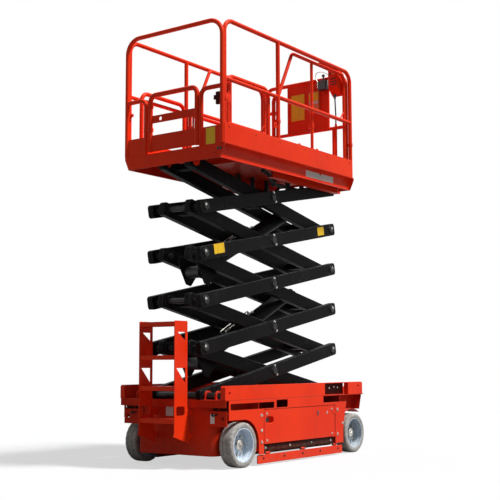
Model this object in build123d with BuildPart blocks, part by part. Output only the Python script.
from build123d import *
import os
from math import cos, radians, sin, sqrt

# A self-propelled electric scissor lift with a five-level linkage and a roll-out deck extension.
# Millimetres. Origin on the ground midway between the axles, +X forward (away from the ladder),
# +Y to the machine's left, +Z up. Pairs such as (low, high) are limits along an axis.

# ---- Driving dimensions ------------------------------------------------------------------------
wheelbase = 1850
body_width = 1180            # over the side panels
rear_face = -1130            # chassis end panel
deck_rear = -1174            # rear edge of the chassis deck
deck_front = 1114            # front edge of the chassis deck
deck_top = 572
belly = 118                  # underside of the middle box
trough_half = 320            # half width of the trough that takes the folded linkage
trough_floor = 515

tyre_dia = 381
tyre_width = 127
wheel_y = 531.5              # wheel centre from the machine's middle
steer_pin_y = 440

levels = 5
link_length = 2110           # pin to pin
link_angle = 11.2            # degrees above level, as it stands
link_depth = 120
link_wall = 55               # thickness of one link
link_overhang = 70           # link beyond its end pins
link_round = 30
outer_link_y = 250           # inner face of the outer links
inner_link_y = 120           # inner face of the inner links
pin_r = 25
base_pin_r = 30
rear_pin_x = -1080
base_pin_z = 603             # the lowest rear pin

floor_rise = 103.85          # platform floor above the top rear pin
platform_rear = -1169
platform_front = 1010
platform_half = 574          # over the toe boards
rail_height = 1099           # top rail above the platform floor
mid_rail_height = 574
rail_y = 550                 # side rails
inner_rail_y = 500           # low fixed rails and extension rails
tube_r = 20                  # posts and top rails
cross_r = 18                 # rails between posts
extension_rear = -350
extension_front = 1017

fit = 0.05                   # running clearance of a pin in its bore, on the radius
seat = 0.3                   # gap between pieces that rest against each other

# ---- Sizes worked out from them ----------------------------------------------------------------
body_half = body_width / 2
axle_z = tyre_dia / 2
rear_axle, front_axle = -wheelbase / 2, wheelbase / 2
reach = link_length * cos(radians(link_angle))
rise = link_length * sin(radians(link_angle))
front_pin_x = rear_pin_x + reach
pin_z = [base_pin_z + level * rise for level in range(levels + 1)]
inner_link_out = inner_link_y + link_wall
outer_link_out = outer_link_y + link_wall
floor_top = pin_z[levels] + floor_rise


def slab(x, y, z, mode=Mode.ADD):
    """A plate or block between its limits along each axis."""
    with Locations((sum(x) / 2, sum(y) / 2, sum(z) / 2)):
        Box(x[1] - x[0], y[1] - y[0], z[1] - z[0], mode=mode)


def tube(points, radius, bend=0):
    """A round tube along the points: straight runs, and an arc at each corner."""
    with BuildLine() as path:
        if bend:
            FilletPolyline(*points, radius=bend)
        else:
            Polyline(*points)
    for run in path.edges():
        with BuildSketch(Plane(origin=run @ 0, z_dir=run % 0)) as ring:
            Circle(radius)
        if run.geom_type == GeomType.LINE:
            extrude(ring.sketch, amount=run.length)
        else:
            sweep(ring.sketch, path=run)


def cross_bar(x, z, y, radius, mode=Mode.ADD):
    """A round bar or bore across the machine at x, z, between its limits in y."""
    with BuildSketch(Plane(origin=(x, y[0], z), x_dir=(-1, 0, 0), z_dir=(0, 1, 0))) as disc:
        Circle(radius)
    extrude(disc.sketch, amount=y[1] - y[0], mode=mode)


def post(x, y, z, radius, mode=Mode.ADD):
    """A round bar or bore standing at x, y between its limits in z."""
    with BuildSketch(Plane.XY.offset(z[0])) as disc:
        with Locations((x, y)):
            Circle(radius)
    extrude(disc.sketch, amount=z[1] - z[0], mode=mode)


def panel(outline, y, holes=()):
    """A side plate from its outline in x and z, between its limits in y, with its holes cut."""
    with BuildSketch(Plane(origin=(0, y[0], 0), x_dir=(-1, 0, 0), z_dir=(0, 1, 0))) as face:
        with BuildLine():
            Polyline(*[(-x, z) for x, z in outline], close=True)
        make_face()
        for x, z in holes:
            with Locations((-sum(x) / 2, sum(z) / 2)):
                RectangleRounded(x[1] - x[0], z[1] - z[0], 6, mode=Mode.SUBTRACT)
    extrude(face.sketch, amount=y[1] - y[0])


def finish(part, name):
    """Names a finished piece and writes its file."""
    part.label = name
    export_step(part, f"parts/{name}.step")


os.makedirs("parts", exist_ok=True)

# ================================================================================================
# Chassis
# ================================================================================================
sheet = 4                    # side panels
plate = 6                    # deck, trough and bulkheads
deck_under = deck_top - plate
rear_box = ((rear_face, -700), 430, 100)      # x limits, half width, underside
middle_box = ((-720, 690), 314, belly)
front_box_half = 285
front_belly = 160            # clear above the tie rod
end_corner = 60
bulkheads = (-697, 658)
tray_floor_half = 568
sill_top = 172
well = ((-1000, -300), (-125, 125), (400, trough_floor + plate))   # for the folded cylinder
track_web = (379, 385)
lower_roller_r = 30
track_play = 1
lower_track = (-130, 1075)
base_lug_r = 45
base_lugs = ((320, 335), (435, 450))
tie_down = ((-1142, rear_face), (350, 575), (350, 480))
tie_down_hole = (530, 418, 17)
inner_rail = ((470, 476), (432, deck_under))   # rails under the deck beside the wheels
inner_rail_x = ((-1120, bulkheads[0]), (bulkheads[1], 772))
track_top = deck_top + 2 * (lower_roller_r + track_play)

with BuildPart() as chassis:
    # rear box, rounded at its two outer corners
    with BuildSketch(Plane.XY.offset(rear_box[2])) as rear_plan:
        with Locations((sum(rear_box[0]) / 2, 0)):
            Rectangle(rear_box[0][1] - rear_box[0][0], 2 * rear_box[1])
        fillet(rear_plan.vertices().group_by(Axis.X)[0], end_corner)
    extrude(amount=trough_floor - rear_box[2])
    slab(middle_box[0], (-middle_box[1], middle_box[1]), (belly, trough_floor))
    # front box, its nose cut back below
    nose = [(680, front_belly), (1000, front_belly), (1080, 270), (1080, trough_floor)]
    panel(nose + [(680, trough_floor)], (-front_box_half, front_box_half))
    # trough floor, its walls and the deck beside it
    slab((deck_rear, deck_front - 20), (-trough_half, trough_half), (trough_floor - plate, trough_floor))
    for side in (-1, 1):
        wall = sorted((side * (trough_half - plate / 2), side * trough_half))
        deck = sorted((side * (trough_half - plate / 2), side * body_half))
        slab((deck_rear, deck_front), wall, (trough_floor - plate, deck_under))
        slab((deck_rear, deck_front), deck, (deck_under, deck_top))
    # rear wall of the trough
    slab((deck_rear, deck_rear + plate), (-body_half, body_half), (trough_floor - plate, deck_top))
    slab(*well, mode=Mode.SUBTRACT)
    # floor, sill and bulkheads of the two tray bays
    slab(middle_box[0], (-tray_floor_half, tray_floor_half), (belly, belly + plate))
    for side in (-1, 1):
        sill = sorted((side * (tray_floor_half - plate), side * tray_floor_half))
        slab(middle_box[0], sill, (belly, sill_top))
        for x in bulkheads:
            bulkhead = sorted((side * (middle_box[1] - plate), side * (body_half - sheet)))
            slab((x - plate / 2, x + plate / 2), bulkhead, (belly, deck_under))
        for x in inner_rail_x:
            slab(x, sorted((side * inner_rail[0][0], side * inner_rail[0][1])), inner_rail[1])
        # outer ribs that carry the deck over the wheels
        rib = sorted((side * (trough_half - plate), side * (rear_box[1] - end_corner)))
        for x in (-1000, -800, 800, 1040):
            slab((x, x + plate), rib, (430, deck_under))
        # track for the lower rollers: web with a lip over them
        web = sorted((side * track_web[0], side * track_web[1]))
        lip = sorted((side * (outer_link_out + 20), side * track_web[1]))
        slab(lower_track, web, (deck_top, track_top + plate))
        slab(lower_track, lip, (track_top, track_top + plate))
        # lugs for the lowest rear pin
        for low, high in base_lugs:
            y = sorted((side * low, side * high))
            cross_bar(rear_pin_x, base_pin_z, y, base_lug_r)
            slab((rear_pin_x - base_lug_r, rear_pin_x + base_lug_r), y, (deck_top, base_pin_z))
            cross_bar(rear_pin_x, base_pin_z, y, base_pin_r + fit, Mode.SUBTRACT)
        # tie-down plate outboard of the end panel
        y = sorted((side * tie_down[1][0], side * tie_down[1][1]))
        slab(tie_down[0], y, tie_down[2])
        with BuildSketch(Plane.YZ.offset(tie_down[0][0])) as eye:
            with Locations((side * tie_down_hole[0], tie_down_hole[1])):
                Circle(tie_down_hole[2])
        extrude(eye.sketch, amount=tie_down[0][1] - tie_down[0][0], mode=Mode.SUBTRACT)
finish(chassis.part, "chassis_frame")

# ---- Side panels: one pressed plate a side, cut for the wheel, the tray and the steered wheel ----
tray_bay = (-626, 564)
tray_bay_top = 478
arch_r = 212.5
skirt_bottom = 95
skirt_step = (352, 504)      # ahead of here the top edge drops, leaving a gap under the deck
arch_top = axle_z + arch_r
arch_front = -702

with BuildPart() as skirts:
    with BuildSketch(Plane(origin=(0, body_half - sheet, 0), x_dir=(-1, 0, 0), z_dir=(0, 1, 0))):
        with BuildLine():
            Polyline(
                (-arch_front + arch_r, arch_top), (-rear_face, arch_top), (-rear_face, deck_under),
                (-skirt_step[0], deck_under), (-skirt_step[0], skirt_step[1]), (-774, skirt_step[1]),
                (-771, 485), (-748, 402), (-710, 235), (-710, 112),
                (-tray_bay[1], 112), (-tray_bay[1], tray_bay_top), (-tray_bay[0], tray_bay_top),
                (-tray_bay[0], skirt_bottom), (-arch_front, skirt_bottom), (-arch_front, axle_z),
            )
            RadiusArc((-arch_front, axle_z), (-arch_front + arch_r, arch_top), arch_r)
        make_face()
        for x, z in (((-1107, -467), (486, 540)), ((-431, -254), (487, 555))):
            with Locations((-sum(x) / 2, sum(z) / 2)):
                RectangleRounded(x[1] - x[0], z[1] - z[0], 8, mode=Mode.SUBTRACT)
    extrude(amount=sheet)
    # fixed halves of the tray hinges
    for z in (196, 413):
        slab((tray_bay[1] - 1, 610), (body_half, body_half + 2), (z - 32, z + 32))
    mirror(about=Plane.XZ)
finish(skirts.part, "side_skirts")

# ---- Boxes along the deck edge: a long rear box, an open channel and a front block ---------------
guard_y = (542, body_half)
guard_holes = ((-1120, 629), (1008, 651))
guard_top = 690
recess_x = (380, 814)
recess_web = (526, 530)

with BuildPart() as guards:
    with BuildSketch(Plane(origin=(0, guard_y[0], 0), x_dir=(-1, 0, 0), z_dir=(0, 1, 0))):
        with BuildLine():
            Polyline(
                (1181, deck_top), (1181, guard_top - 14), (1167, guard_top), (-382, guard_top),
                (-382, deck_top), close=True,
            )
        make_face()
        with BuildLine():
            Polyline(
                (-812, deck_top), (-812, guard_top), (-1076, guard_top), (-1090, guard_top - 14),
                (-1090, deck_top), close=True,
            )
        make_face()
        for x, z in guard_holes:
            with Locations((-x, z)):
                Circle(13, mode=Mode.SUBTRACT)
    extrude(amount=guard_y[1] - guard_y[0])
    slab(recess_x, recess_web, (deck_top, guard_top))
    slab(recess_x, (recess_web[0], body_half), (guard_top - 6, guard_top))
    mirror(about=Plane.XZ)
finish(guards.part, "side_guards")

# ---- Fenders over the steered wheels: a curved liner with a set-back face -------------------------
liner_r = 295.5
liner_centre = (915, 130)
fender_face = (472, 476)
fender_lip = 566
liner = (tray_floor_half - 130, fender_lip)


def liner_height(x, radius):
    """Height of the liner's curve of the given radius at x."""
    return liner_centre[1] + sqrt(radius ** 2 - (x - liner_centre[0]) ** 2)


with BuildPart() as fenders:
    rear, front = 774, 1056
    with BuildSketch(Plane(origin=(0, liner[0], 0), x_dir=(-1, 0, 0), z_dir=(0, 1, 0))) as curve:
        with BuildLine():
            ends = [[(-x, liner_height(x, r)) for x in (rear, front)] for r in (liner_r, liner_r + 3)]
            middles = [(-liner_centre[0], liner_centre[1] + r) for r in (liner_r, liner_r + 3)]
            ThreePointArc(ends[0][0], middles[0], ends[0][1])
            Line(ends[0][1], ends[1][1])
            ThreePointArc(ends[1][1], middles[1], ends[1][0])
            Line(ends[1][0], ends[0][0])
        make_face()
    extrude(amount=liner[1] - liner[0])
    with BuildSketch(Plane(origin=(0, fender_face[0], 0), x_dir=(-1, 0, 0), z_dir=(0, 1, 0))):
        with BuildLine():
            ThreePointArc(ends[1][0], middles[1], ends[1][1])
            Polyline(ends[1][1], (-1066, 421), (-1110, deck_under), (-rear, deck_under), ends[1][0])
        make_face()
    extrude(amount=fender_face[1] - fender_face[0])
    # flange up the front of the fender, under the deck's corner
    panel([(1062, 420), (1106, deck_under), (1110, deck_under), (1066, 420)],
          (fender_lip - 110, fender_lip))
    mirror(about=Plane.XZ)
finish(fenders.part, "fenders")

# ---- Ladder on the end panel ----------------------------------------------------------------------
ladder_half = 200
ladder_plate = 6
ladder_outline = [
    (-1370, 300), (-1380, 270), (-1157, 197), (-1200, 520), (-1200, 1232), (-1208, 1240),
    (-1362, 1240), (-1370, 1232),
]
rungs = (395, 668, 930, 1215)
rung_x = (-1362, -1222)

with BuildPart() as ladder:
    for side in (-1, 1):
        face = sorted((side * ladder_half, side * (ladder_half - ladder_plate)))
        with BuildSketch(Plane(origin=(0, face[0], 0), x_dir=(-1, 0, 0), z_dir=(0, 1, 0))):
            with BuildLine():
                Polyline(*[(-x, z) for x, z in ladder_outline], close=True)
            make_face()
            with BuildLine():
                Polyline((1230, 1145), (1330, 1145), (1230, 1072), close=True)
            make_face(mode=Mode.SUBTRACT)
            with BuildLine():
                Polyline((1228, 840), (1345, 840), (1228, 712), close=True)
            make_face(mode=Mode.SUBTRACT)
            with Locations((1290, 480)):
                RectangleRounded(110, 76, 20, mode=Mode.SUBTRACT)
        extrude(amount=ladder_plate)
        # brackets back to the end panel
        for x, z in ((-1200, 440), (-1180, 240)):
            slab((x, rear_face), face, (z, z + 50))
    for z in rungs:
        # folded tread: flat top with a lip turned down at each edge
        y = (-ladder_half + ladder_plate, ladder_half - ladder_plate)
        slab(rung_x, y, (z + 14, z + 18))
        slab((rung_x[0], rung_x[0] + 4), y, (z - 20, z + 18))
        slab((rung_x[1] - 4, rung_x[1]), y, (z - 20, z + 18))
finish(ladder.part, "ladder")

# ================================================================================================
# Axles, steering and wheels
# ================================================================================================
spindle_r = 30
hub_flange = (rear_box[1], 470, 92)
spindle_end = 548
spindle_nut_r = 38
rim_disc = (496, 508)
rim_hub = (484, 526)

with BuildPart() as hubs:
    for side in (-1, 1):
        motor = sorted((side * hub_flange[0], side * hub_flange[1]))
        spindle = sorted((side * hub_flange[1], side * (spindle_end - 14)))
        nut = sorted((side * (rim_hub[1] + 1), side * spindle_end))
        cross_bar(rear_axle, axle_z, motor, hub_flange[2])
        cross_bar(rear_axle, axle_z, spindle, spindle_r)
        cross_bar(rear_axle, axle_z, nut, spindle_nut_r)
finish(hubs.part, "rear_hubs")

# ---- Front axle beam: tapers to a boss around each steering pin -----------------------------------
beam = (front_belly, 221)
boss_r = 27
steer_pin_r = 18
knuckle_fork = (136, 245)
fork_plate = 20

with BuildPart() as front_beam:
    with BuildSketch(Plane.XY.offset(beam[0])):
        with BuildLine():
            Polyline(
                (front_axle - boss_r, steer_pin_y), (front_axle - 75, front_box_half),
                (front_axle + 75, front_box_half), (front_axle + boss_r, steer_pin_y), close=True,
            )
        make_face()
        with Locations((front_axle, steer_pin_y)):
            Circle(boss_r)
            Circle(steer_pin_r + fit, mode=Mode.SUBTRACT)
    extrude(amount=beam[1] - beam[0])
    mirror(about=Plane.XZ)
finish(front_beam.part, "front_axle")

# ---- Steering knuckles: a fork round the beam's boss, a spindle and an arm for the tie rod --------
steer_arm = 120
arm_tip_r = 22
tie_pin_r = 9
tie_rod_z = 121
knuckle_web = (467.2, 470)
brake_end = 483              # outer end of the flange behind the rim

for name, side in (("left", 1), ("right", -1)):
    with BuildPart() as knuckle:
        for low in (knuckle_fork[0], knuckle_fork[1] - fork_plate):
            with BuildSketch(Plane.XY.offset(low)):
                with Locations((front_axle, side * steer_pin_y)):
                    Circle(26)
                with Locations((front_axle, side * (steer_pin_y + knuckle_web[1]) / 2)):
                    Rectangle(52, knuckle_web[1] - steer_pin_y)
            extrude(amount=fork_plate)
        post(front_axle, side * steer_pin_y, (knuckle_fork[0] - 8, knuckle_fork[1] + 8), steer_pin_r)
        web = sorted((side * knuckle_web[0], side * knuckle_web[1]))
        flange = sorted((side * knuckle_web[1], side * brake_end))
        spindle = sorted((side * brake_end, side * (spindle_end - 14)))
        slab((front_axle - 26, front_axle + 26), web, knuckle_fork)
        cross_bar(front_axle, axle_z, flange, 60)
        cross_bar(front_axle, axle_z, spindle, spindle_r)
        cross_bar(front_axle, axle_z, sorted((side * (rim_hub[1] + 1), side * spindle_end)), spindle_nut_r)
        # arm back to the tie rod, level with the fork's lower plate
        with BuildSketch(Plane.XY.offset(knuckle_fork[0])):
            with Locations((front_axle - steer_arm / 2, side * steer_pin_y)):
                Rectangle(steer_arm, 30)
            with Locations((front_axle - steer_arm, side * steer_pin_y)):
                Circle(arm_tip_r)
        extrude(amount=fork_plate)
        post(front_axle - steer_arm, side * steer_pin_y, (tie_rod_z - 13, knuckle_fork[0]), tie_pin_r)
    finish(knuckle.part, f"knuckle_{name}")

with BuildPart() as tie_rod:
    tie_x = front_axle - steer_arm
    cross_bar(tie_x, tie_rod_z, (-steer_pin_y + 18, steer_pin_y - 18), 14)
    for side in (-1, 1):
        post(tie_x, side * steer_pin_y, (tie_rod_z - 11, tie_rod_z + 11), 24)
        post(tie_x, side * steer_pin_y, (tie_rod_z - 11, tie_rod_z + 11), tie_pin_r + fit, Mode.SUBTRACT)
finish(tie_rod.part, "tie_rod")

# ---- Wheels: a solid rubber tyre on a deep-dished steel rim --------------------------------------
tyre_seat_r = 146
rim_wall = 9
rim_half = 60
stud_circle = 88

wheels = {  # name: (x, side)
    "rear_left": (rear_axle, 1),
    "rear_right": (rear_axle, -1),
    "front_left": (front_axle, 1),
    "front_right": (front_axle, -1),
}
for name, (x, side) in wheels.items():
    # profiles lie in the y-z plane through the wheel's axis
    centre = side * wheel_y
    axis = Axis((x, 0, axle_z), (0, 1, 0))
    section = Plane(origin=(x, 0, axle_z), x_dir=(0, 1, 0), z_dir=(1, 0, 0))
    with BuildPart() as tyre:
        with BuildSketch(section) as tread:
            with Locations((centre, (tyre_seat_r + axle_z) / 2)):
                Rectangle(tyre_width, axle_z - tyre_seat_r)
            chamfer(tread.vertices().group_by(Axis.Z)[-1], 10)
        revolve(axis=axis)
    finish(tyre.part, f"tyre_{name}")
    with BuildPart() as rim:
        with BuildSketch(section):
            with Locations((centre, tyre_seat_r - seat - rim_wall / 2)):
                Rectangle(2 * rim_half, rim_wall)
            with Locations((side * sum(rim_disc) / 2, (tyre_seat_r - 4 + spindle_r + fit) / 2)):
                Rectangle(rim_disc[1] - rim_disc[0], tyre_seat_r - 4 - spindle_r - fit)
            with Locations((side * sum(rim_hub) / 2, (60 + spindle_r + fit) / 2)):
                Rectangle(rim_hub[1] - rim_hub[0], 60 - spindle_r - fit)
        revolve(axis=axis)
        disc_face = Plane(origin=(x, side * rim_disc[1], axle_z), x_dir=(1, 0, 0), z_dir=(0, side, 0))
        with BuildSketch(disc_face):
            with PolarLocations(stud_circle, 8):
                RegularPolygon(11, 6)
        extrude(amount=12)
    finish(rim.part, f"rim_{name}")

# ================================================================================================
# Trays that swing out of the sides, and what they carry
# ================================================================================================
hinge = (558, body_half)
hinge_r = 5
door_x = (-620, hinge[0] - 4)
door_z = (180, 473)
door_return = 22
shelf = ((-606, 540), (345, body_half - sheet), 185)
latch = (-538, 383)

for name, side in (("left", 1), ("right", -1)):
    with BuildPart() as door:
        y = sorted((side * (body_half - sheet), side * body_half))
        with BuildSketch(Plane(origin=(0, y[0], 0), x_dir=(-1, 0, 0), z_dir=(0, 1, 0))):
            with Locations((-sum(door_x) / 2, sum(door_z) / 2)):
                RectangleRounded(door_x[1] - door_x[0], door_z[1] - door_z[0], 10)
            with Locations((-latch[0], latch[1])):
                SlotOverall(125, 66, mode=Mode.SUBTRACT)
        extrude(amount=sheet)
        # cup behind the latch opening, with its handle
        cup = sorted((side * (body_half - sheet), side * (body_half - 30)))
        with BuildSketch(Plane(origin=(latch[0], cup[0], latch[1]), x_dir=(-1, 0, 0), z_dir=(0, 1, 0))):
            SlotOverall(133, 74)
            SlotOverall(125, 66, mode=Mode.SUBTRACT)
        extrude(amount=cup[1] - cup[0])
        back = sorted((side * (body_half - 30), side * (body_half - 32)))
        slab((latch[0] - 66, latch[0] + 66), back, (latch[1] - 37, latch[1] + 37))
        # folded returns, the shelf and its low walls
        fold = sorted((side * (body_half - sheet), side * (body_half - door_return)))
        slab((door_x[0] + 12, door_x[1] - 12), fold, (door_z[1] - 3, door_z[1]))
        shelf_y = sorted((side * shelf[1][0], side * shelf[1][1]))
        slab(shelf[0], shelf_y, (shelf[2], shelf[2] + 4))
        inner = sorted((side * shelf[1][0], side * (shelf[1][0] + 4)))
        slab(shelf[0], inner, (shelf[2], shelf[2] + 70))
        for x in shelf[0]:
            end = sorted((x, x + (4 if x < 0 else -4)))
            slab(end, shelf_y, (shelf[2], shelf[2] + 70))
        # moving halves of the hinges
        for z in (196, 413):
            post(hinge[0], side * hinge[1], (z - 20, z + 20), hinge_r)
            leaf = sorted((side * body_half, side * (body_half + 2)))
            slab((510, hinge[0]), leaf, (z - 20, z + 20))
    finish(door.part, f"tray_door_{name}")

battery = ((-590, -325, -60, 205), 245, (352, 550), (189, 440))   # rear edges, length, y, z
with BuildPart() as batteries:
    for x in battery[0]:
        y = (-battery[2][1], -battery[2][0])
        slab((x, x + battery[1]), y, battery[3])
        slab((x + 6, x + battery[1] - 6), (y[0] + 6, y[1] - 6), (battery[3][1], battery[3][1] + 14))
        for dx in (40, battery[1] - 40):
            post(x + dx, y[0] + 30, (battery[3][1] + 14, battery[3][1] + 30), 9)
        for dx in (75, 122, 170):
            post(x + dx, y[1] - 60, (battery[3][1] + 14, battery[3][1] + 24), 16)
finish(batteries.part, "battery_pack")

with BuildPart() as hydraulics:
    # oil tank, pump block, electric motor and valve manifold in a row on the left tray
    slab((-580, -140), (360, 550), (189, 400))
    cross = Plane(origin=(-140, 460, 300), x_dir=(0, 1, 0), z_dir=(1, 0, 0))
    slab((-140, -60), (395, 525), (189, 370))
    with BuildSketch(cross.offset(80)):
        Circle(80)
    extrude(amount=260)
    with BuildSketch(cross.offset(80 + 260)):
        Circle(62)
    extrude(amount=14)
    slab((40, 120), (400, 520), (189, 250))
    slab((330, 500), (380, 540), (189, 330))
    for x in (360, 415, 470):
        post(x, 460, (330, 400), 19)
    post(-500, 410, (400, 425), 28)
finish(hydraulics.part, "hydraulic_unit")

# ---- Pothole guards: bars under each side that swing down as the platform rises --------------------
guard_bar = ((-712, 698), (574, 582), (15, 90))
guard_hinge = (578, 104)
guard_eye_r = 9
guard_tabs = (-560, 0, 560)

for name, side in (("left", 1), ("right", -1)):
    with BuildPart() as pothole:
        y = sorted((side * guard_bar[1][0], side * guard_bar[1][1]))
        with BuildSketch(Plane(origin=(0, y[0], 0), x_dir=(-1, 0, 0), z_dir=(0, 1, 0))):
            with Locations((-sum(guard_bar[0]) / 2, sum(guard_bar[2]) / 2)):
                RectangleRounded(guard_bar[0][1] - guard_bar[0][0], guard_bar[2][1] - guard_bar[2][0], 14)
        extrude(amount=y[1] - y[0])
        for x in guard_tabs:
            with BuildSketch(Plane.YZ.offset(x - 30)):
                with Locations((side * guard_hinge[0], guard_hinge[1])):
                    Circle(guard_eye_r)
                with Locations((side * guard_hinge[0], guard_bar[2][1])):
                    Rectangle(8, 2 * (guard_hinge[1] - guard_bar[2][1]))
                with Locations((side * guard_hinge[0], guard_hinge[1])):
                    Circle(5 + fit, mode=Mode.SUBTRACT)
            extrude(amount=60)
    finish(pothole.part, f"pothole_guard_{name}")

# pins and hangers that carry the guards, under the tray bays
with BuildPart() as hangers:
    for x in guard_tabs:
        with BuildSketch(Plane.YZ.offset(x - 42)):
            with Locations((guard_hinge[0], guard_hinge[1])):
                Circle(5)
        extrude(amount=84)
        for low in (x - 42, x + 34):
            with BuildSketch(Plane.YZ.offset(low)):
                # an eye under a flat foot that lies against the bay's floor
                with Locations(guard_hinge):
                    Circle(guard_eye_r)
                with BuildLine():
                    Polyline((540, belly), (540, belly - 6), (569, belly - 6), (569, guard_hinge[1]),
                             (585, guard_hinge[1]), (585, belly), close=True)
                make_face()
            extrude(amount=8)
    mirror(about=Plane.XZ)
finish(hangers.part, "guard_hangers")

# ================================================================================================
# The five-level linkage
# ================================================================================================
boss_out = 3                 # pivot boss proud of the link
cap_gap = 0.5
cap_r = 31
roller_y = (325, 370)
upper_roller_r = 28
cross_tube = 60
mount_r = 38                 # cylinder mounts on the inner links
mount_pin_r = 30
mount_plate = (inner_link_y - 20, inner_link_y - 10)   # plates either side of a cylinder's eye
mount_y = (74, mount_plate[0])
mount_pad = 240              # length of the pad between plate and link
ear_r = 40
lower_mount = (0.88, -90)    # share of the link from its front pin, offset across it
upper_mount = (0.20, 55)
gusset = (                   # plate down to a lower mount, in the same terms
    (0.80, 35), (0.80, -50), (0.84, -195), (0.871, -195), (0.935, -50), (0.935, 35),
)

cross_tubes = {  # inner link: shares of the length that carry a tube across
    1: (0.08, 0.45),
    2: (0.08, 0.95),
    3: (0.08, 0.45),
    4: (0.08, 0.95),
    5: (0.08, 0.45, 0.95),
}
cylinder_mounts = {1: (lower_mount,), 3: (upper_mount, lower_mount), 5: (upper_mount,)}
short_pins = (1, 3)          # rear pins that stop short of the cylinders' path


def outer_plane(level):
    """Plane along the outer link of a level, X from its rear foot, Z to the machine's right."""
    return Plane(
        origin=(rear_pin_x, 0, pin_z[level - 1]),
        x_dir=(cos(radians(link_angle)), 0, sin(radians(link_angle))),
        z_dir=(0, -1, 0),
    )


def inner_plane(level):
    """Plane along the inner link of a level, X from its front foot, Z to the machine's left."""
    return Plane(
        origin=(front_pin_x, 0, pin_z[level - 1]),
        x_dir=(-cos(radians(link_angle)), 0, sin(radians(link_angle))),
        z_dir=(0, 1, 0),
    )


def link_face(bores):
    """Profile of a link with its three bores, on the sketch being built."""
    with Locations((link_length / 2, 0)):
        RectangleRounded(link_length + 2 * link_overhang, link_depth, link_round)
    for share, radius in zip((0, 0.5, 1), bores):
        with Locations((share * link_length, 0)):
            Circle(radius, mode=Mode.SUBTRACT)


def boss_faces(bores):
    """Rings round the three bores, on the sketch being built."""
    for share, radius in zip((0, 0.5, 1), bores):
        with Locations((share * link_length, 0)):
            Circle(radius + 18)
            Circle(radius, mode=Mode.SUBTRACT)


for level in range(1, levels + 1):
    foot_r = (base_pin_r if level == 1 else pin_r) + fit
    bores = (foot_r, pin_r + fit, pin_r + fit)
    with BuildPart() as outer:
        with BuildSketch(outer_plane(level).offset(outer_link_y)):
            link_face(bores)
        extrude(amount=link_wall)
        with BuildSketch(outer_plane(level).offset(outer_link_out)):
            boss_faces(bores)
        extrude(amount=boss_out)
        mirror(about=Plane.XZ)
    finish(outer.part, f"outer_arms_{level}")

    bores = (pin_r + fit,) * 3
    with BuildPart() as inner:
        with BuildSketch(inner_plane(level).offset(inner_link_y)):
            link_face(bores)
        extrude(amount=link_wall)
        with BuildSketch(inner_plane(level).offset(inner_link_y - boss_out)):
            boss_faces(bores)
        extrude(amount=boss_out)
        for share, lift in cylinder_mounts.get(level, ()):
            with BuildSketch(inner_plane(level).offset(mount_plate[0])):
                if lift > 0:
                    with Locations((share * link_length, lift)):
                        Circle(ear_r)
                    with Locations((share * link_length, lift / 2)):
                        Rectangle(2 * ear_r, lift)
                else:
                    with BuildLine():
                        Polyline(*[(at * link_length, off) for at, off in gusset], close=True)
                    make_face()
            extrude(amount=mount_plate[1] - mount_plate[0])
            with BuildSketch(inner_plane(level).offset(mount_plate[1])):
                with Locations((share * link_length, 0)):
                    Rectangle(mount_pad if lift < 0 else 2 * ear_r, 80)
            extrude(amount=inner_link_y - mount_plate[1])
            with BuildSketch(inner_plane(level).offset(mount_y[0])):
                with Locations((share * link_length, lift)):
                    Circle(mount_r)
            extrude(amount=mount_y[1] - mount_y[0])
            if lift > 0:
                with BuildSketch(inner_plane(level)):
                    with Locations((share * link_length, lift)):
                        Circle(mount_pin_r)
                extrude(amount=mount_y[0])
        mirror(about=Plane.XZ)
        with BuildSketch(inner_plane(level).offset(-inner_link_y)):
            for share in cross_tubes[level]:
                with Locations((share * link_length, -15 if share == 0.45 else 0)):
                    RectangleRounded(cross_tube, cross_tube, 8)
        extrude(amount=2 * inner_link_y)
    finish(inner.part, f"inner_arms_{level}")

# ---- Pins of each level, held by its outer links -------------------------------------------------
for level in range(1, levels + 1):
    with BuildPart() as pins:
        cap = (outer_link_out + boss_out + cap_gap, outer_link_out + boss_out + cap_gap + 6)
        rear, middle, front = [
            (rear_pin_x, pin_z[level - 1]),
            (rear_pin_x + reach / 2, pin_z[level - 1] + rise / 2),
            (front_pin_x, pin_z[level]),
        ]
        inner_end = inner_link_y - boss_out - 4
        if level == 1:
            cross_bar(*rear, (-base_lugs[1][1] - 4, base_lugs[1][1] + 4), base_pin_r)
        elif level - 1 in short_pins:
            for side in (-1, 1):
                cross_bar(*rear, sorted((side * (inner_end - 30), side * cap[0])), pin_r)
        else:
            cross_bar(*rear, (-cap[0], cap[0]), pin_r)
        for side in (-1, 1):
            cross_bar(*middle, sorted((side * inner_end, side * cap[0])), pin_r)
        if level < levels:
            cross_bar(*front, (-cap[0], cap[0]), pin_r)
        capped = [middle] + ([rear] if level > 1 else []) + ([front] if level < levels else [])
        for x, z in capped:
            for side in (-1, 1):
                cross_bar(x, z, sorted((side * cap[0], side * cap[1])), cap_r)
    finish(pins.part, f"pivot_pins_{level}")

rollers_at = (("lower_rollers", pin_z[0], lower_roller_r), ("upper_rollers", pin_z[levels], upper_roller_r))
for name, z, radius in rollers_at:
    with BuildPart() as rollers:
        cross_bar(front_pin_x, z, (-roller_y[0], roller_y[0]), pin_r)
        for side in (-1, 1):
            cross_bar(front_pin_x, z, sorted((side * roller_y[0], side * roller_y[1])), radius)
    finish(rollers.part, name)

# ---- Lift cylinders: barrel hinged to the upper mount, rod down to the lower mount ----------------
barrel_r = 70
barrel_bore = 58
rod_r = 45
barrel_end = 1345            # from the upper mount
gland = 30
bore_start = 62
piston = 30
rod_tail = 1365              # from the rod's eye to the end of its piston
eye_r = 55
eye_half = 72


def mount_point(level, mount):
    """Where a cylinder mount of an inner link stands, as x and z."""
    point = inner_plane(level).from_local_coords((mount[0] * link_length, mount[1], 0))
    return point.X, point.Z


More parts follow.
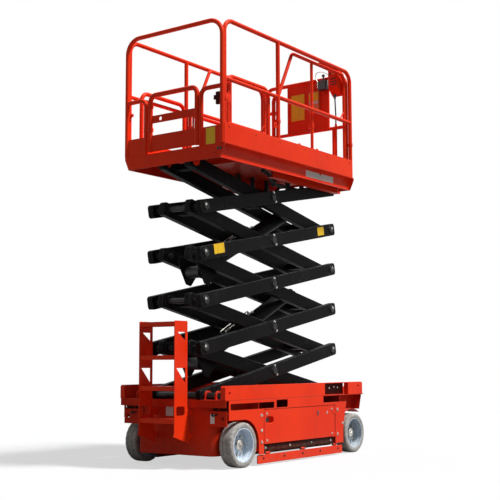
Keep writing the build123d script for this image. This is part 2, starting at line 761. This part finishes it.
for name, level in (("lower", 1), ("upper", 3)):
    low, high = mount_point(level, lower_mount), mount_point(level + 2, upper_mount)
    length = sqrt((high[0] - low[0]) ** 2 + (high[1] - low[1]) ** 2)
    down = ((low[0] - high[0]) / length, 0, (low[1] - high[1]) / length)
    along = Plane(origin=(high[0], 0, high[1]), x_dir=(0, 1, 0), z_dir=down)
    with BuildPart() as barrel:
        with BuildSketch(along.offset(30)):
            Circle(barrel_r)
        extrude(amount=barrel_end - 30)
        with BuildSketch(along.offset(barrel_end - gland - 25)):
            Circle(barrel_r + 6)
        extrude(amount=gland + 25)
        cross_bar(*high, (-eye_half, eye_half), eye_r + 8)
        with BuildSketch(along.offset(bore_start)):
            Circle(barrel_bore)
        extrude(amount=barrel_end - gland - bore_start, mode=Mode.SUBTRACT)
        with BuildSketch(along.offset(barrel_end - gland)):
            Circle(rod_r + fit)
        extrude(amount=gland, mode=Mode.SUBTRACT)
        cross_bar(*high, (-eye_half, eye_half), mount_pin_r + fit, Mode.SUBTRACT)
    finish(barrel.part, f"cylinder_barrel_{name}")
    with BuildPart() as rod:
        with BuildSketch(along.offset(length - rod_tail)):
            Circle(barrel_bore - fit)
        extrude(amount=piston)
        with BuildSketch(along.offset(length - rod_tail + piston)):
            Circle(rod_r)
        extrude(amount=rod_tail - piston - 20)
        cross_bar(*low, (-eye_half, eye_half), eye_r)
    finish(rod.part, f"cylinder_rod_{name}")

# ================================================================================================
# Platform
# ================================================================================================
floor = 3
channel = 4
channel_depth = 123
side_web = (516, 520)        # set back under the edge of the floor
side_lip = 10                # lip out along the foot of each web
corner_cut = (44, 100)       # lower corners of the end plates: across, up
toe_height = 179
toe_board = (rail_y + tube_r + seat, platform_half)
top_pin_z = pin_z[levels]
clear_over_links = floor_top - 20     # nothing hangs lower than this over the links' ends
upper_track = (-170, 1056)          # runs on past the floor for the folded position
upper_track_low = top_pin_z - upper_roller_r - track_play
upper_track_high = top_pin_z + upper_roller_r + track_play
slide_beam = ((440, 480), (floor_top - 66, floor_top - 11))
platform_lug = (inner_link_out + 13, inner_link_out + 27)

with BuildPart() as deck:
    slab((platform_rear, platform_front), (-platform_half, platform_half), (floor_top - floor, floor_top))
    under = floor_top - channel_depth
    for side in (-1, 1):
        web = sorted((side * side_web[0], side * side_web[1]))
        foot_lip = sorted((side * side_web[0], side * (side_web[1] + side_lip)))
        slab((platform_rear, platform_front), web, (under, floor_top))
        slab((platform_rear, platform_front), foot_lip, (under, under + channel))
        # track for the upper rollers
        track = sorted((side * track_web[0], side * track_web[1]))
        lip = sorted((side * (outer_link_out + 20), side * track_web[1]))
        slab(upper_track, track, (upper_track_low - 5, clear_over_links))
        slab((upper_track[0], platform_front), track, (clear_over_links, floor_top))
        slab(upper_track, lip, (upper_track_low - 5, upper_track_low))
        slab(upper_track, lip, (upper_track_high, upper_track_high + 5))
        # end plates: the front ones stand beside the links, the rear ones meet in the middle
        for x, inner in ((platform_rear, 0), (platform_front - channel, track_web[1] + 5)):
            with BuildSketch(Plane.YZ.offset(x)) as end_plate:
                with BuildLine():
                    Polyline((side * inner, floor_top), (side * inner, under),
                             (side * (platform_half - corner_cut[0]), under),
                             (side * platform_half, under + corner_cut[1]),
                             (side * platform_half, floor_top), close=True)
                make_face()
            extrude(end_plate.sketch, amount=channel)
        # lugs and pins for the top rear joint
        lug = sorted((side * platform_lug[0], side * platform_lug[1]))
        cross_bar(rear_pin_x, top_pin_z, lug, 42)
        slab((rear_pin_x - 42, rear_pin_x + 42), lug, (top_pin_z, floor_top))
        pin = sorted((side * (inner_link_y - boss_out - 2), side * (platform_lug[1] + 6)))
        cross_bar(rear_pin_x, top_pin_z, pin, pin_r)
    for x in (-900, -600):
        slab((x, x + 40), (-side_web[1], side_web[1]), (floor_top - 45, floor_top))
    # windows in the front fascia for the extension's slide beams
    for side in (-1, 1):
        window = sorted((side * (slide_beam[0][0] - 6), side * (slide_beam[0][1] + 6)))
        z = (slide_beam[1][0] - 6, slide_beam[1][1] + 6)
        slab((platform_front - 20, platform_front + 20), window, z, Mode.SUBTRACT)
finish(deck.part, "platform_deck")

with BuildPart() as toe_boards:
    slab((platform_rear, platform_front - 30), toe_board, (floor_top, floor_top + toe_height))
    mirror(about=Plane.XZ)
finish(toe_boards.part, "toe_boards")

# ---- Fixed rails ------------------------------------------------------------------------------------
top_z = floor_top + rail_height
mid_z = floor_top + mid_rail_height
side_posts = (-1140, -320, 990)
loop_y = 320
loop_top = floor_top + 502
low_rail_z = floor_top + 629
low_rail = (-1030, -410)

with BuildPart() as rails:
    tube([(side_posts[0], rail_y, floor_top), (side_posts[0], rail_y, top_z),
          (side_posts[2], rail_y, top_z), (side_posts[2], rail_y, floor_top)], tube_r, 110)
    tube([(side_posts[0], rail_y, mid_z), (side_posts[2], rail_y, mid_z)], cross_r)
    tube([(side_posts[1], rail_y, floor_top), (side_posts[1], rail_y, top_z)], tube_r)
    # half loop beside the gate, and its toe board
    tube([(platform_rear, rail_y, loop_top), (platform_rear, loop_y, loop_top),
          (platform_rear, loop_y, floor_top)], tube_r, 60)
    slab((platform_rear - 2, platform_rear + 2), (loop_y + 10, rail_y - 10), (floor_top, floor_top + 159))
    # low inner rail
    tube([(low_rail[0], inner_rail_y, floor_top), (low_rail[0], inner_rail_y, low_rail_z),
          (low_rail[1], inner_rail_y, low_rail_z), (low_rail[1], inner_rail_y, floor_top)], tube_r, 80)
    # lanyard anchor plate on the middle post
    with BuildSketch(Plane(origin=(side_posts[1], rail_y - 4, 0), x_dir=(-1, 0, 0), z_dir=(0, 1, 0))):
        with Locations((42, floor_top + 300)):
            RectangleRounded(60, 50, 8)
        with Locations((50, floor_top + 300)):
            Circle(12, mode=Mode.SUBTRACT)
    extrude(amount=8)
    mirror(about=Plane.XZ)
    tube([(platform_rear, rail_y, floor_top), (platform_rear, rail_y, top_z),
          (platform_rear, -rail_y, top_z), (platform_rear, -rail_y, floor_top)], tube_r, 140)
    # collars that carry the gate
    for z in (floor_top + 205, floor_top + 420):
        post(platform_rear, 267.5, (z, z + 30), 29)
        slab((platform_rear - 8, platform_rear + 8), (285, loop_y), (z, z + 30))
        post(platform_rear, 267.5, (z, z + 30), 22.5 + fit, Mode.SUBTRACT)
finish(rails.part, "platform_rails")

# ---- Entry gate -------------------------------------------------------------------------------------
gate_tube_r = 22.5
gate_y = (-273.5, 267.5)
gate_top = floor_top + 532
with BuildPart() as gate:
    tube([(platform_rear, gate_y[0], floor_top + 14), (platform_rear, gate_y[0], gate_top),
          (platform_rear, gate_y[1], gate_top), (platform_rear, gate_y[1], floor_top + 14)], gate_tube_r, 62)
    with BuildSketch(Plane.YZ.offset(platform_rear - 3)):
        with Locations((sum(gate_y) / 2, floor_top + 309)):
            Rectangle(gate_y[1] - gate_y[0] - 40, 70)
        with Locations((147, floor_top + 309)):
            Circle(17, mode=Mode.SUBTRACT)
        with Locations((sum(gate_y) / 2, floor_top + 89)):
            Rectangle(gate_y[1] - gate_y[0] - 40, 150)
    extrude(amount=6)
    for y in (-240, -205):
        slab((platform_rear - 3, platform_rear + 3), (y, y + 18), (floor_top + 160, floor_top + 280))
finish(gate.part, "entry_gate")

# ---- Extension deck ---------------------------------------------------------------------------------
ext_floor = (floor_top + 2, floor_top + 5)
ext_half = 518
with BuildPart() as extension:
    slab((extension_rear, extension_front), (-ext_half, ext_half), ext_floor)
    lip = (platform_front + 2, extension_front)
    slab(lip, (-ext_half, ext_half), (clear_over_links, ext_floor[1]))
    for side in (-1, 1):
        y = sorted((side * slide_beam[0][0], side * slide_beam[0][1]))
        slab(lip, sorted((side * (track_web[1] + 8), side * ext_half)), (floor_top - 95, ext_floor[1]))
        slab((extension_rear, extension_front), y, slide_beam[1])
    slab((extension_rear, extension_rear + 4), (-ext_half, ext_half), (ext_floor[0], ext_floor[1] + 16))
finish(extension.part, "extension_deck")

ext_post = -320
ext_low_z = floor_top + 594
ext_top_z = floor_top + 1074
ext_front_x = 995
front_rail_z = floor_top + 547
ext_bar_z = top_z - 15        # top bar of the front frame
front_sheet = (-290, 210)
duct_top = floor_top + 584
foot = ext_floor[1]
with BuildPart() as ext_rails:
    tube([(ext_post, inner_rail_y, foot), (ext_post, inner_rail_y, ext_low_z),
          (ext_front_x, inner_rail_y, ext_low_z)], cross_r, 70)
    tube([(-250, inner_rail_y, ext_low_z), (-6, inner_rail_y, ext_top_z),
          (ext_front_x - 38, inner_rail_y, ext_top_z), (ext_front_x - 38, inner_rail_y, foot)],
         cross_r - 1, 60)
    tube([(340, inner_rail_y, foot), (340, inner_rail_y, ext_top_z)], 15)
    tube([(ext_front_x, inner_rail_y, floor_top + 744), (870, inner_rail_y, ext_low_z)], 8)
    mirror(about=Plane.XZ)
    tube([(ext_front_x, -inner_rail_y, foot), (ext_front_x, -inner_rail_y, ext_bar_z),
          (ext_front_x, inner_rail_y, ext_bar_z), (ext_front_x, inner_rail_y, foot)], tube_r, 90)
    tube([(ext_front_x, -inner_rail_y, front_rail_z), (ext_front_x, inner_rail_y, front_rail_z)], cross_r)
    for y in (-350, 350):
        tube([(ext_front_x, y, foot), (ext_front_x, y, front_rail_z)], 16)
    # closed sheet between two uprights
    for y in front_sheet:
        tube([(ext_front_x, y, front_rail_z), (ext_front_x, y, ext_bar_z)], 13)
    slab((ext_front_x - 2, ext_front_x + 2), front_sheet, (front_rail_z, ext_bar_z))
    slab((ext_front_x - 2, ext_front_x + 2), (-inner_rail_y, inner_rail_y), (foot, foot + 170))
    # cable duct on the front post
    post(ext_front_x - 20, -390, (foot, duct_top), 12)
    slab((ext_front_x - 22, ext_front_x), (-396, -384), (duct_top - 40, duct_top - 20))
finish(ext_rails.part, "extension_rails")

# ---- Controls ---------------------------------------------------------------------------------------
# a plate box on the front bar, with a hood that reaches back over the platform
box_x = (880, ext_front_x - tube_r - seat)
box_y = (-475, -360)
box_foot = (floor_top + 944, floor_top + 870)     # underside at the back and at the front
hood_rear = 660
hood_z = (top_z + 40, top_z + 65)

with BuildPart() as controls:
    panel([(box_x[0], box_foot[0]), (box_x[1], box_foot[1]), (box_x[1], hood_z[1]), (hood_rear, hood_z[1]),
           (hood_rear, hood_z[0]), (box_x[0], hood_z[0])], box_y)
    # hook plates over the front bar
    hook = ext_front_x + tube_r + 6
    for y in (-465, -385):
        slab((box_x[1] - 4, hook), (y, y + 10), (ext_bar_z + 22, ext_bar_z + 32))
        slab((hook - 5, hook), (y, y + 10), (ext_bar_z - 10, ext_bar_z + 32))
finish(controls.part, "control_box")

# joystick on its housing, beside the box
stick_x = (900, ext_front_x - 13 - seat)
stick_y = (-315, -215)
stick_z = (floor_top + 960, floor_top + 1060)
with BuildPart() as joystick:
    housing = (stick_z[0], stick_z[1] - 12)
    slab(stick_x, stick_y, housing)
    fillet(joystick.edges().filter_by(Axis.Z), 12)
    post(sum(stick_x) / 2, sum(stick_y) / 2, (housing[1], stick_z[1]), 28)
    post(sum(stick_x) / 2, sum(stick_y) / 2, (stick_z[1], stick_z[1] + 45), 8)
    with Locations((sum(stick_x) / 2, sum(stick_y) / 2, stick_z[1] + 50)):
        Sphere(17)
finish(joystick.part, "joystick_unit")

paper_z = (floor_top + 744, floor_top + 964)
with BuildPart() as papers:
    slab((ext_front_x - 35, ext_front_x - 2 - seat), (-190, -70), paper_z)
finish(papers.part, "document_box")

cable_r = 7
cable_x = 950
cable_top = box_foot[0] + (box_foot[1] - box_foot[0]) * (cable_x + cable_r - box_x[0]) / (box_x[1] - box_x[0])
cable_points = [(cable_x, -396, cable_top), (cable_x, -400, floor_top + 780),
                (ext_front_x - 20, -390, floor_top + 680), (ext_front_x - 20, -390, duct_top)]
with BuildPart() as cable:
    tube(cable_points, cable_r, 45)
finish(cable.part, "control_cable")
